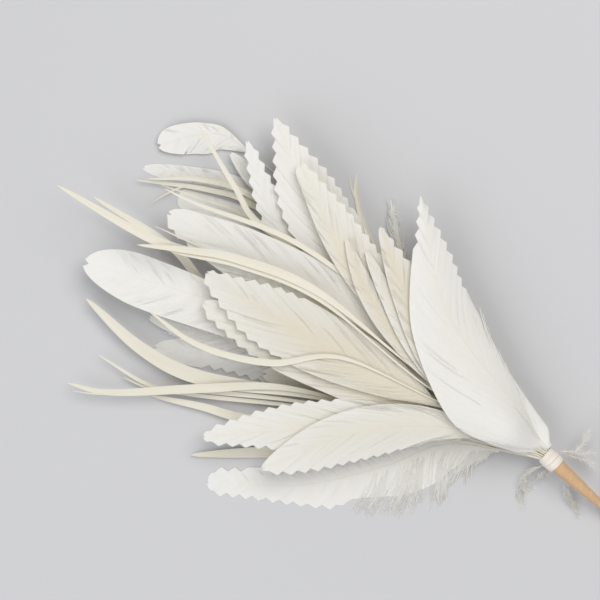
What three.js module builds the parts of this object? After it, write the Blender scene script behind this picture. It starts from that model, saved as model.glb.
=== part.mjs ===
// A millinery spray of white goose feathers, bound on a taped wire stem and lying on a table.
// Millimetres, +Z up, +X to the right and +Y away, seen from above, with the table as z = 0.
import * as THREE from 'three';

// The bound neck: every shaft runs through a collar of thread, on its way from the stem to the fan.
const NECK = new THREE.Vector3(84.5, -50.5, 10);
const FLOWER_WAY = new THREE.Vector3(-0.747, 0.664, 0).normalize();
const FAN_LEFT = new THREE.Vector3(-FLOWER_WAY.y, FLOWER_WAY.x, 0);
const UP = new THREE.Vector3(0, 0, 1);
const COLLAR_LENGTH = 7;
const COLLAR_BORE = 3.2;
const COLLAR_RADIUS = 3.5;
const COLLAR_SEGMENTS = 16;
const THREAD_TURNS = 4;
const THREAD_RELIEF = 0.2;
const PIECE_GAP = 0.3;
const SHAFT_END = 1;

// The bundle of shafts in the collar, in columns from the right side of the fan to its left.
const SHAFT_PITCH = 0.76;
const SHAFT_RADIUS = 0.22;
const COLUMN_SIZES = [4, 5, 7, 8, 6, 5, 4];

// The pile: each level lies on the one below. The levels spread out away from the neck, and they lie closer
// at the two sides of the fan than in its middle, so that the spray is a low mound.
const LEVEL_AT_NECK = 0.78;
const LEVEL_SPREAD = 0.005;
const FAN_OUT = 34;
const FAN_MIDDLE = 2.62;
const FAN_HALF = 0.66;
const SIDE_FALL = 0.42;
const LYING = 0.1;

// Sections: half thickness of a shaft, of the middle of a vane and of a biot.
const RIB_HALF = 0.3;
const RIB_TIP_HALF = 0.14;
const VANE_HALF = 0.11;
const BIOT_HALF = 0.22;
const EDGE_HALF = 0.01;
const CAMBER_WIDTH = 10;
const FEATHER_SIDES = 8;
const BIOT_SIDES = 4;
const BARE_HALF = 0.66;
const SHAFT_SHOULDER = 0.7;
const VANE_MIDDLE = 0.5;
const BARE_ROWS = [0.3, 0.65];
const PLAIN_ROWS = [0, 0.1, 0.24, 0.4, 0.56, 0.7, 0.82, 0.91, 0.97, 1];
const BLUNT_TIP = 0.02;

// A biot widens from its root, is widest near its end and runs out in a point.
const BIOT_ROWS = [0.1, 0.22, 0.34, 0.45, 0.54, 0.62, 0.7, 0.78, 0.85, 0.91, 0.96, 1];
const BIOT_ROOT = 0.35;
const BIOT_WIDEST = 0.72;
const BIOT_POINT = 1.6;
const BIOT_TIP_HALF = 0.12;

// Pinking shears cut one tooth every 5 mm along an edge.
const TOOTH_PITCH = 5;
const TOOTH_DEPTH = 1.7;
const DEEPEST_CUT = 0.6;

const WHITE = { color: 0xf1f1ee, roughness: 0.7, metalness: 0 };
const IVORY = { color: 0xf0ead6, roughness: 0.5, metalness: 0 };
const DOWN = { color: 0xf4f4f2, roughness: 0.9, metalness: 0 };
const THREAD = { color: 0xf2efea, roughness: 0.8, metalness: 0 };
const TAPE = { color: 0xd8b078, roughness: 0.75, metalness: 0 };
const WIRE_PAPER = { color: 0xe2e0b4, roughness: 0.7, metalness: 0 };

// Broad feathers, from the top of the pile down. The path of the shaft goes from the neck to the tip. Each
// has its level in the pile near the neck and at the tip, the half widths of its left and right vanes at
// the quarters of their length, the share of the shaft that is bare, the share of the vane that the rounded
// tip takes, the slope and the hollow across it, and the stretches of its edges that are pinked. Some have
// vanes that start wide, with the half widths as the base, and the front petal fans out close to the neck.
const FEATHERS = [
  { name: 'front_petal', level: [24, 21],
    path: [[69.5, -27.5], [53, -7], [44, 12], [37.5, 47]], start: 0.02, round: 0.06,
    base: [8, 4], fan: 16,
    left: [22, 17.5, 8.5, 1.6], right: [6, 10.5, 9, 1.6], roll: 0, cup: -0.4,
    pinked: { left: [0.8, 0.98], right: [0.64, 0.98] } },
  { name: 'second_petal', level: [21.5, 18.5],
    path: [[64, -37.5], [44, -19.5], [31, 10.5], [22.5, 35]], start: 0.3, round: 0.06,
    left: [4, 5, 4, 1.6], right: [6, 9, 7.5, 1.6], roll: 0, cup: -0.3,
    pinked: { right: [0.66, 0.98] } },
  { name: 'slim_white_petal', level: [20.4, 17.2],
    path: [[58, -39.5], [37, -12], [24.5, 10.5], [17, 26]], start: 0.3, round: 0.1,
    left: [3, 4, 3, 1.4], right: [3, 4, 3, 1.4], roll: 0.6, cup: -0.5 },
  { name: 'slim_inner_petal', level: [19.3, 16],
    path: [[53.5, -31.5], [30, -7.5], [17, 11], [9.5, 30.5]], start: 0.3, round: 0.12,
    left: [3, 4, 3.2, 1.4], right: [3, 4.5, 4, 1.4], roll: 0.6, cup: -0.5 },
  { name: 'upper_inner_petal', level: [17.6, 14],
    path: [[54.5, -28], [30, -4], [9.5, 22], [-7.5, 58.5]], start: 0.3, round: 0.04,
    left: [4, 4, 4.2, 3], right: [8, 13, 10.5, 3], roll: -1, cup: 0,
    pinked: { right: [0.5, 0.98] } },
  { name: 'lower_front_petal', level: [18.4, 13.6],
    path: [[64, -44], [37.5, -39.5], [9.5, -43.5], [-22, -56]], start: 0.15, round: 0.1,
    left: [5, 10.5, 10, 4.5], right: [6, 9, 8, 3], roll: -0.3, cup: -0.3,
    pinked: { left: [0.42, 0.98] } },
  { name: 'lower_petal', level: [17.3, 10.6],
    path: [[41, -40.5], [7.5, -40.5], [-20.5, -42], [-44, -44]], start: 0.22, round: 0.05,
    left: [6, 9, 7, 3.5], right: [7, 11, 9.2, 3.5], roll: 0, cup: -0.4,
    pinked: { left: [0.72, 0.98], right: [0.5, 0.98] } },
  { name: 'cream_centre_petal', level: [16.2, 13],
    path: [[49, -34.5], [11, -15], [-19, 2], [-42.5, 18]], start: 0.28, round: 0.05,
    left: [7, 11.5, 12, 5], right: [9, 12, 11, 2.5], roll: 0, cup: 0.3,
    pinked: { left: [0.6, 0.98], right: [0.62, 0.98] } },
  { name: 'lower_stepped_petal', level: [14.5, 11.2],
    path: [[47, -37], [9.5, -20.5], [-22, -5.5], [-44, 6.5]], start: 0.28, round: 0.05,
    left: [7.5, 9.5, 9, 4], right: [7, 9, 7, 3], roll: 0, cup: 0.3,
    pinked: { left: [0.66, 0.98] } },
  { name: 'wide_upper_feather', level: [13.9, 11.5],
    path: [[49, -30], [7.5, 2], [-26, 23], [-57, 40]], start: 0.25, round: 0.06,
    left: [8, 10, 10, 6], right: [9, 12.5, 10, 4], roll: 0, cup: 0.4,
    pinked: { left: [0.86, 0.98] } },
  { name: 'upper_petal', level: [12.2, 10.5],
    path: [[56, -29], [26, 0], [-1, 38], [-17, 76]], start: 0.28, round: 0.04,
    left: [6, 11, 11, 2.5], right: [7, 13, 12.5, 2.5], roll: -0.8, cup: 0.3,
    pinked: { left: [0.58, 0.98], right: [0.62, 0.98] } },
  { name: 'upper_left_petal', level: [10.2, 8],
    path: [[52.5, -30], [11, 4], [-17, 38], [-27.5, 67.5]], start: 0.3, round: 0.05,
    left: [4, 5.5, 5, 2.4], right: [5, 8, 7.5, 2.4], roll: 0, cup: 0.3,
    pinked: { left: [0.7, 0.98], right: [0.8, 0.98] } },
  { name: 'long_left_feather', level: [11.2, 7],
    path: [[45, -32], [0, -9.5], [-41, 7.5], [-89, 21.5]], start: 0.3, round: 0.18,
    left: [7, 11, 11.5, 8.5], right: [4, 4.5, 8, 10.5], roll: 0, cup: 0.3 },
  { name: 'inner_centre_petal', level: [6.6, 3],
    path: [[45, -35.5], [15, -27], [-4, -23], [-22, -20.5]], start: 0.25, round: 0.2,
    left: [6, 8, 7, 5], right: [6, 8, 7, 5], roll: 0, cup: 0.2 },
  { name: 'fringed_back_petal', level: [5.5, 1.3],
    path: [[41, -34], [0, -19.5], [-37.5, -7.5], [-65, 1]], start: 0.3, round: 0.1,
    left: [5, 6, 5.5, 4], right: [4, 5, 4, 3], roll: 0, cup: 0 },
  { name: 'back_petal', level: [4, 0],
    path: [[41, -35.5], [0, -23.5], [-34, -15], [-63, -10.5]], start: 0.28, round: 0.14,
    left: [6, 7, 5.5, 5], right: [5, 6, 4.5, 5], roll: 0, cup: 0,
    pinked: { left: [0.6, 0.86] } },
  { name: 'round_feather', level: [4.5, 0],
    path: [[45, -22], [7.5, 22], [-28, 49.5], [-67.5, 58]], start: 0.6, round: 0.14,
    left: [2.5, 3, 3, 2.6], right: [2.5, 3.5, 3.2, 2.6], roll: 0, cup: 0 },
  { name: 'small_feather', level: [3.4, 2.6],
    path: [[45, -22], [11, 25], [-17, 47], [-34, 63.5]], start: 0.7, round: 0.3,
    left: [3, 4, 4, 3], right: [2, 3, 3, 2.4], roll: 0, cup: 0 },
  { name: 'curled_feather', level: [2.2, 1.2],
    path: [[47, -17], [2, 37], [-31, 67], [-45, 70.5], [-61.5, 66]], start: 0.8, round: 0.3,
    left: [4.5, 7.5, 6.5, 5], right: [1.5, 4, 5.5, 7.5], roll: -0.8, cup: 0 },
  { name: 'grey_back_feather', level: [1.2, 0],
    path: [[45, -19.5], [7.5, 18], [-26, 38], [-54, 47]], start: 0.5, round: 0.03,
    left: [3, 4, 4, 4], right: [3, 4, 3.5, 3.5], roll: 0, cup: 0 },
  { name: 'wispy_feather', level: [3, 0],
    path: [[67.5, -27], [45, 2], [32, 23], [27, 46]], start: 0.55, round: 0.1,
    left: [1.5, 2, 2.3, 1], right: [1.5, 2, 2.3, 1], roll: 0, cup: 0 },
  { name: 'bottom_petal', level: [0, 0],
    path: [[49, -47.5], [24.5, -56], [-7.5, -63], [-43, -62]], start: 0.12, round: 0.04,
    base: [3, 1],
    left: [20, 14, 7, 5], right: [4, 6, 7, 6], roll: 0, cup: 0,
    pinked: { left: [0.56, 0.98], right: [0.86, 0.98] } },
];

// Biots, the stiff pointed barbs from the narrow side of a wing quill, listed in the same way.
const BIOTS = [
  { name: 'straight_left_biot', level: [18, 14.8], half: 1.7,
    path: [[41, -22.5], [0, 10], [-30, 22.5], [-49, 26], [-68, 28]] },
  { name: 'long_left_biot', level: [17.1, 13.9], half: 1.9,
    path: [[41, -25.5], [0, 7.5], [-30, 21], [-60, 29], [-97.5, 50]] },
  { name: 'upper_edge_biot', level: [15.2, 12.5], half: 1,
    path: [[45, -18], [19, 8.5], [-11, 30], [-45, 43], [-58, 49]] },
  { name: 'thin_left_biot', level: [14.8, 12.4], half: 0.6,
    path: [[41, -21], [-7.5, 13], [-41, 26], [-61.5, 35]] },
  { name: 'band_biot', level: [16.6, 13.4], half: 1.3,
    path: [[41, -29], [7.5, -14], [-19, -16], [-45, -9.5], [-64, 3.5]] },
  { name: 'crossing_biot', level: [11.1, 9], half: 1.2,
    path: [[45, -16], [11, 15], [-22, 35.5], [-32, 50], [-45.5, 73]] },
  { name: 'left_biot', level: [9.2, 4.6], half: 1.7,
    path: [[41, -28], [-7.5, -7.5], [-39.5, 9.5], [-56, 27.5], [-85.5, 46.5]] },
  { name: 'long_lower_biot', level: [9.6, 4], half: 1.7,
    path: [[41, -39.5], [-11, -26], [-45, -26], [-79, -27.5], [-95.5, -24]] },
  { name: 'wide_lower_biot', level: [8.4, 3], half: 2.8,
    path: [[37.5, -37.5], [-7.5, -28], [-45, -22], [-67.5, -11], [-88.5, 8]] },
  { name: 'thin_lower_biot', level: [7.5, 2], half: 0.9,
    path: [[37.5, -39.5], [-7.5, -31], [-45, -27], [-64, -25], [-84, -13.5]] },
  { name: 'short_lower_biot', level: [6, 1.6], half: 0.8,
    path: [[37.5, -40.5], [-7.5, -33], [-45, -29], [-64.5, -26], [-74.5, -22]] },
  { name: 'low_biot', level: [4.5, 1.5], half: 1.8,
    path: [[41, -42], [0, -39.5], [-28, -37.5], [-45, -33], [-64, -29]] },
  { name: 'bottom_biot', level: [3, 1.2], half: 2.2,
    path: [[41, -45], [4, -49.5], [-26, -50.5], [-49, -51.5]] },
  { name: 'upper_fine_biot', level: [8, 4], half: 0.6,
    path: [[45, -22.5], [7.5, 15], [-26, 38.5], [-45, 46], [-60, 51]] },
  { name: 'upper_biot', level: [6.8, 2.6], half: 1.2,
    path: [[45, -20], [4, 24.5], [-26, 47], [-45, 53], [-65.5, 53.5]] },
  { name: 'upper_low_biot', level: [5.7, 1.3], half: 1.2,
    path: [[45, -22], [4, 19.5], [-24.5, 43], [-43, 49.5], [-69.5, 53]] },
  { name: 'top_biot', level: [4.2, 0], half: 1.4,
    path: [[60, -24.5], [37.5, 4], [19.5, 30], [14, 47], [14, 55.5]] },
];

// Loose down at the neck: thin curved tufts, each from its root on the collar to its tips.
const TUFTS = [
  { name: 'upper_down_tuft', path: [[91.2, -48.3, 11], [97, -49, 10], [101.5, -42, 8]], half: 2.5 },
  { name: 'lower_down_tuft', path: [[83.6, -55.6, 8], [78, -61, 4], [77.5, -74, 0.6]], half: 2.6 },
  { name: 'stem_down_tuft', path: [[88.6, -60, 7], [94, -65.5, 3.5], [98, -75, 0.6]], half: 2 },
];
const TUFT_HALF = 0.3;
const TUFT_ROWS = [0, 0.2, 0.4, 0.6, 0.8, 1];
const TUFT_END = 0.28;

// The stem, from the collar to its end on the table, and the wire that is folded back beyond the tape.
const STEM_PATH = [[0, 10], [14, 7.6], [28, 3.6], [46, 1.6]];
const STEM_RADII = [2.9, 2.1, 1.5, 1.3];
const WIRE_RADIUS = 0.9;
const WIRE_BEND = 2.4;
const WIRE_REACH = 5;
const WIRE_TAIL = 15;
const STEM_SIDES = 8;
const STEM_ROWS = 10;
const WIRE_ROWS = 12;

const spray = new THREE.Group();
spray.name = 'goose_feather_flower_mount';

function addPiece(name, geometry, look) {
  const piece = new THREE.Mesh(geometry, new THREE.MeshStandardMaterial(look));
  piece.name = name;
  spray.add(piece);
}

// A closed body from a row of rings with the same number of points, the first and last one capped.
function loft(rings) {
  const sides = rings[0].length;
  const body = new THREE.CylinderGeometry(1, 1, 1, sides, rings.length - 1);
  const spots = body.getAttribute('position');
  for (let i = 0; i < spots.count; i += 1) {
    const ring = rings[Math.round((0.5 - spots.getY(i)) * (rings.length - 1))];
    const spot = new THREE.Vector3();
    if (Math.hypot(spots.getX(i), spots.getZ(i)) < 0.5) {
      ring.forEach((p) => spot.addScaledVector(p, 1 / sides));
    } else {
      const turn = Math.atan2(spots.getX(i), spots.getZ(i)) / (2 * Math.PI);
      spot.copy(ring[(Math.round(turn * sides) + sides) % sides]);
    }
    spots.setXYZ(i, spot.x, spot.y, spot.z);
  }
  // The faces below are split along the same diagonals as those above, so a twisted vane keeps its thickness.
  const corners = body.getIndex();
  for (let face = (sides / 4) * (rings.length - 1); face < (sides * 3 / 4) * (rings.length - 1); face += 1) {
    const [a, b, d, , c] = [0, 1, 2, 3, 4].map((i) => corners.getX(face * 6 + i));
    [a, b, c, a, c, d].forEach((corner, i) => corners.setX(face * 6 + i, corner));
  }
  body.computeVertexNormals();
  return body;
}

const smooth = (t) => THREE.MathUtils.smoothstep(t, 0, 1);

// Where each shaft sits in the collar: columns by the side of the fan it goes to, rows by its level.
function packShafts(pieces) {
  const heading = (p) => Math.atan2(p.path[0][1] - NECK.y, p.path[0][0] - NECK.x);
  const across = [...pieces].sort((a, b) => heading(a) - heading(b));
  let first = 0;
  COLUMN_SIZES.forEach((size, column) => {
    const stack = across.slice(first, first + size).sort((a, b) => a.level[0] - b.level[0]);
    stack.forEach((piece, row) => {
      piece.side = (column - (COLUMN_SIZES.length - 1) / 2) * SHAFT_PITCH;
      piece.rise = (row - (stack.length - 1) / 2) * SHAFT_PITCH;
    });
    first += size;
  });
}

// Height of a level of the pile at a place, fanning out from the shaft's own place in the collar.
function pileHeight(piece, level, x, y) {
  const reach = Math.hypot(x - NECK.x, y - NECK.y);
  const aside = (Math.atan2(NECK.y - y, NECK.x - x) + Math.PI - FAN_MIDDLE) / FAN_HALF;
  const mound = 1 - SIDE_FALL * Math.min(1, aside * aside);
  const piled = LYING + level * (LEVEL_AT_NECK + LEVEL_SPREAD * reach) * mound;
  return THREE.MathUtils.lerp(NECK.z + piece.rise, piled, smooth(reach / (piece.fan ?? FAN_OUT)));
}

// Half width of a vane at a share of its length, from the half widths at its quarters.
function vaneWidth(base, quarters, share, round) {
  const spots = [base, ...quarters].map((w, i) => new THREE.Vector2(i / quarters.length, w));
  const width = new THREE.SplineCurve(spots).getPoint(share).y;
  const past = Math.max(0, (share - 1 + round) / round);
  return width * Math.sqrt(Math.max(BLUNT_TIP, 1 - past * past));
}

// One feather or biot: its shaft in the collar, then the bare shaft, then the blade to the tip.
function blade(piece, shares, widths, rib, vane, sides) {
  const out = NECK.clone().addScaledVector(FAN_LEFT, piece.side);
  const spots = [[out.x, out.y], ...piece.path].map((p) => new THREE.Vector3(p[0], p[1], 0));
  const shaft = new THREE.CatmullRomCurve3(spots, false, 'catmullrom', 0.5);
  const rings = [SHAFT_END - COLLAR_LENGTH, PIECE_GAP].map((end) => {
    const spot = out.clone().addScaledVector(FLOWER_WAY, end);
    spot.z += piece.rise;
    return Array.from({ length: sides }, (_, i) => {
      const turn = (i / sides) * 2 * Math.PI;
      return spot.clone().addScaledVector(FAN_LEFT, SHAFT_RADIUS * Math.sin(turn))
        .addScaledVector(UP, SHAFT_RADIUS * Math.cos(turn));
    });
  });
  shares.forEach((share) => {
    const spot = shaft.getPointAt(share);
    const way = shaft.getTangentAt(share);
    const [left, right] = widths(share);
    const bare = Math.max(left, right) < BARE_HALF;
    const level = THREE.MathUtils.lerp(piece.level[0], piece.level[1], smooth(share));
    const place = (side, lift) => {
      const x = spot.x - way.y * side;
      const y = spot.y + way.x * side;
      const camber = (piece.roll ?? 0) * (side / CAMBER_WIDTH)
        + (piece.cup ?? 0) * (side / CAMBER_WIDTH) ** 2;
      const floor = lift > 0 ? LYING : 0;
      return new THREE.Vector3(x, y, Math.max(pileHeight(piece, level, x, y) + camber + lift, floor));
    };
    const half = rib(share);
    const middle = bare ? SHAFT_SHOULDER : VANE_MIDDLE;
    const thin = bare ? half * SHAFT_SHOULDER : vane;
    rings.push([
      place(0, half), place(left * middle, thin), place(left, EDGE_HALF), place(left * middle, -thin),
      place(0, -half), place(-right * middle, -thin), place(-right, EDGE_HALF), place(-right * middle, thin),
    ].filter((_, i) => i % (FEATHER_SIDES / sides) === 0));
  });
  return loft(rings);
}

const pathLength = (path) => path.reduce((sum, p, i) => {
  const from = i ? path[i - 1] : [NECK.x, NECK.y];
  return sum + Math.hypot(p[0] - from[0], p[1] - from[1]);
}, 0);

function feather(piece) {
  const vaneLength = pathLength(piece.path) * (1 - piece.start);
  const halfTooth = TOOTH_PITCH / 2 / vaneLength;
  const cuts = Object.values(piece.pinked ?? {});
  const firstCut = Math.min(1, ...cuts.map((c) => c[0]));
  const rows = PLAIN_ROWS.filter((v) => v < firstCut - halfTooth / 2);
  if (cuts.length) {
    for (let v = firstCut; v < 1 - halfTooth / 3; v += halfTooth) rows.push(v);
    rows.push(1);
  }
  const notch = (cut, v) => {
    if (!cut || v < cut[0] || v > cut[1]) return 0;
    const half = Math.round((v - firstCut) / halfTooth);
    return half % 2 ? TOOTH_DEPTH : 0;
  };
  const bareShares = BARE_ROWS.map((v) => v * piece.start);
  const shares = [...bareShares, ...rows.map((v) => piece.start + v * (1 - piece.start))];
  const side = (base, quarters, cut, share) => {
    const v = (share - piece.start) / (1 - piece.start);
    if (v <= 0) return RIB_HALF;
    const width = vaneWidth(base, quarters, v, piece.round);
    return Math.max(width - Math.min(notch(cut, v), width * DEEPEST_CUT), RIB_HALF);
  };
  const [baseLeft, baseRight] = piece.base ?? [0, 0];
  const widths = (share) => [side(baseLeft, piece.left, piece.pinked?.left, share),
    side(baseRight, piece.right, piece.pinked?.right, share)];
  const rib = (share) => THREE.MathUtils.lerp(RIB_HALF, RIB_TIP_HALF, share);
  return blade(piece, shares, widths, rib, VANE_HALF, FEATHER_SIDES);
}

function biot(piece) {
  const widths = (share) => {
    const grow = smooth((share - BIOT_ROOT) / (BIOT_WIDEST - BIOT_ROOT));
    const past = Math.max(0, (share - BIOT_WIDEST) / (1 - BIOT_WIDEST));
    const shrink = Math.sqrt(1 - past ** BIOT_POINT);
    const width = Math.max(THREE.MathUtils.lerp(RIB_HALF, piece.half, grow) * shrink, BIOT_TIP_HALF);
    return [width, width];
  };
  const rib = (share) => THREE.MathUtils.lerp(BIOT_HALF, RIB_TIP_HALF, share);
  return blade(piece, BIOT_ROWS, widths, rib, RIB_TIP_HALF, BIOT_SIDES);
}

packShafts([...FEATHERS, ...BIOTS]);
FEATHERS.forEach((piece) => addPiece(piece.name, feather(piece), WHITE));
BIOTS.forEach((piece) => addPiece(piece.name, biot(piece), IVORY));

// Tufts of down: flat curved blades that narrow to both ends.
TUFTS.forEach((tuft) => {
  const line = new THREE.CatmullRomCurve3(tuft.path.map((p) => new THREE.Vector3(...p)));
  const rings = TUFT_ROWS.map((share) => {
    const spot = line.getPointAt(share);
    const way = line.getTangentAt(share);
    const across = new THREE.Vector3(-way.y, way.x, 0).normalize();
    const half = tuft.half * THREE.MathUtils.lerp(TUFT_END, 1, Math.sin(Math.PI * share));
    return [[0, 1], [1, 0], [0, -1], [-1, 0]].map(([side, lift]) => spot.clone()
      .addScaledVector(across, side * half).addScaledVector(UP, lift * TUFT_HALF));
  });
  addPiece(tuft.name, loft(rings), DOWN);
});

// The collar: turns of thread around the bundle, as a ring with a rounded ridge for each turn.
const turnPitch = COLLAR_LENGTH / THREAD_TURNS;
const collarEdge = [new THREE.Vector2(COLLAR_BORE, 0)];
for (let turn = 0; turn < THREAD_TURNS; turn += 1) {
  collarEdge.push(new THREE.Vector2(COLLAR_RADIUS, turn * turnPitch));
  collarEdge.push(new THREE.Vector2(COLLAR_RADIUS + THREAD_RELIEF, (turn + 0.5) * turnPitch));
}
collarEdge.push(new THREE.Vector2(COLLAR_RADIUS, COLLAR_LENGTH));
collarEdge.push(new THREE.Vector2(COLLAR_BORE, COLLAR_LENGTH), new THREE.Vector2(COLLAR_BORE, 0));
const collar = new THREE.LatheGeometry(collarEdge, COLLAR_SEGMENTS);
const collarTurn = new THREE.Quaternion().setFromUnitVectors(new THREE.Vector3(0, 1, 0), FLOWER_WAY);
collar.applyQuaternion(collarTurn);
const collarBack = NECK.clone().addScaledVector(FLOWER_WAY, -COLLAR_LENGTH);
collar.translate(collarBack.x, collarBack.y, collarBack.z);
addPiece('thread_collar', collar, THREAD);

// A round bar along a curve, with a radius for each share of its length.
function bar(curve, rows, radius, sides) {
  const rings = [];
  for (let row = 0; row <= rows; row += 1) {
    const spot = curve.getPointAt(row / rows);
    const way = curve.getTangentAt(row / rows);
    const across = new THREE.Vector3(-way.y, way.x, 0).normalize();
    const over = new THREE.Vector3().crossVectors(way, across);
    rings.push(Array.from({ length: sides }, (_, i) => {
      const turn = (i / sides) * 2 * Math.PI;
      return spot.clone().addScaledVector(across, radius(row / rows) * Math.sin(turn))
        .addScaledVector(over, radius(row / rows) * Math.cos(turn));
    }));
  }
  return loft(rings);
}

// The taped stem, tapering from the collar down to the table.
const stemSpots = STEM_PATH.map(([reach, height]) => {
  const spot = collarBack.clone().addScaledVector(FLOWER_WAY, -PIECE_GAP - reach);
  return spot.setZ(height);
});
const stemLine = new THREE.CatmullRomCurve3(stemSpots);
const stemRadius = new THREE.SplineCurve(STEM_RADII.map((r, i) => new THREE.Vector2(i, r)));
addPiece('taped_stem', bar(stemLine, STEM_ROWS, (share) => stemRadius.getPoint(share).y, STEM_SIDES), TAPE);

// The wire: out of the end of the tape, round a tight bend and back beside the stem.
const wireStart = stemSpots.at(-1).clone().addScaledVector(FLOWER_WAY, -PIECE_GAP).setZ(WIRE_RADIUS);
const wireSteps = [[0, 0], [WIRE_REACH, 0], [WIRE_REACH + WIRE_BEND, WIRE_BEND],
  [WIRE_REACH, 2 * WIRE_BEND], [0, 2 * WIRE_BEND], [-WIRE_TAIL, 2 * WIRE_BEND]];
const wireSpots = wireSteps.map(([reach, side]) => wireStart.clone()
  .addScaledVector(FLOWER_WAY, -reach).addScaledVector(FAN_LEFT, side));
const wireLine = new THREE.CatmullRomCurve3(wireSpots);
addPiece('stem_wire', bar(wireLine, WIRE_ROWS, () => WIRE_RADIUS, STEM_SIDES), WIRE_PAPER);

// The origin goes on the table, under the middle of the whole spray.
const box = new THREE.Box3().setFromObject(spray);
const middle = box.getCenter(new THREE.Vector3());
spray.children.forEach((piece) => piece.geometry.translate(-middle.x, -middle.y, -box.min.z));

export default spray;
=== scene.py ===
import math

import bmesh
import bpy
import numpy as np
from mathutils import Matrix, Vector


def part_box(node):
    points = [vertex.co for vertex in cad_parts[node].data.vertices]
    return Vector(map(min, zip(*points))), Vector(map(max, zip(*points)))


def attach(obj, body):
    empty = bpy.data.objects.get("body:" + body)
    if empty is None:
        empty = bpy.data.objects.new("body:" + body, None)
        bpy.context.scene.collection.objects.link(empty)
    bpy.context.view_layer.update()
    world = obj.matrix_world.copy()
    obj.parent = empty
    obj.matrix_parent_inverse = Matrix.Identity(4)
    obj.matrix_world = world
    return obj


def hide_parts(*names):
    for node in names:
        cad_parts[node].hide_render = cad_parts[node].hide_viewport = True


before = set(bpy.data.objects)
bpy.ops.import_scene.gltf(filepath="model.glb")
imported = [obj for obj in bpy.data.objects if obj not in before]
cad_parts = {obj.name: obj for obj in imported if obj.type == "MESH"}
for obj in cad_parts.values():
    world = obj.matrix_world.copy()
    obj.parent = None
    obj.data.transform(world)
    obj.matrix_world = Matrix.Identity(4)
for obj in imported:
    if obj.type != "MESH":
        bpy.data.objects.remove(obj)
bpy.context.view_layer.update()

# Broad feathers
# White goose feathers, each a horny shaft with a vane of hooked barbs on either side of it. A milliner cut
# the edges of most of them with pinking shears, laid them over each other and tied their shafts together.
MM = 0.001  # lengths are in millimetres until this makes metres of them
NECK = np.array([84.5, -50.5])
NECK_HEIGHT = 10
FLOWER_WAY = np.array([-0.747, 0.664]) / math.hypot(0.747, 0.664)
FAN_LEFT = np.array([-FLOWER_WAY[1], FLOWER_WAY[0]])
COLLAR_LENGTH = 7
SHAFT_END = 1
SHAFT_PITCH = 0.76
COLUMN_SIZES = [4, 5, 7, 8, 6, 5, 4]
LEVEL_AT_NECK = 0.78
LEVEL_SPREAD = 0.005
FAN_OUT = 34
FAN_MIDDLE = 2.62
FAN_HALF = 0.66
SIDE_FALL = 0.42
LYING = 0.1
CAMBER_WIDTH = 10
SHAFT_STEPS = 241
TOOTH_PITCH = 5
TOOTH_DEPTH = 1.7
DEEPEST_CUT = 0.4
BARB_PITCH = 0.42
BARB_CURVE = 1.25
VANE_THICKNESS = 0.14
SHOULDER = 0.06
BLUNT_TIP = 0.02

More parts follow.
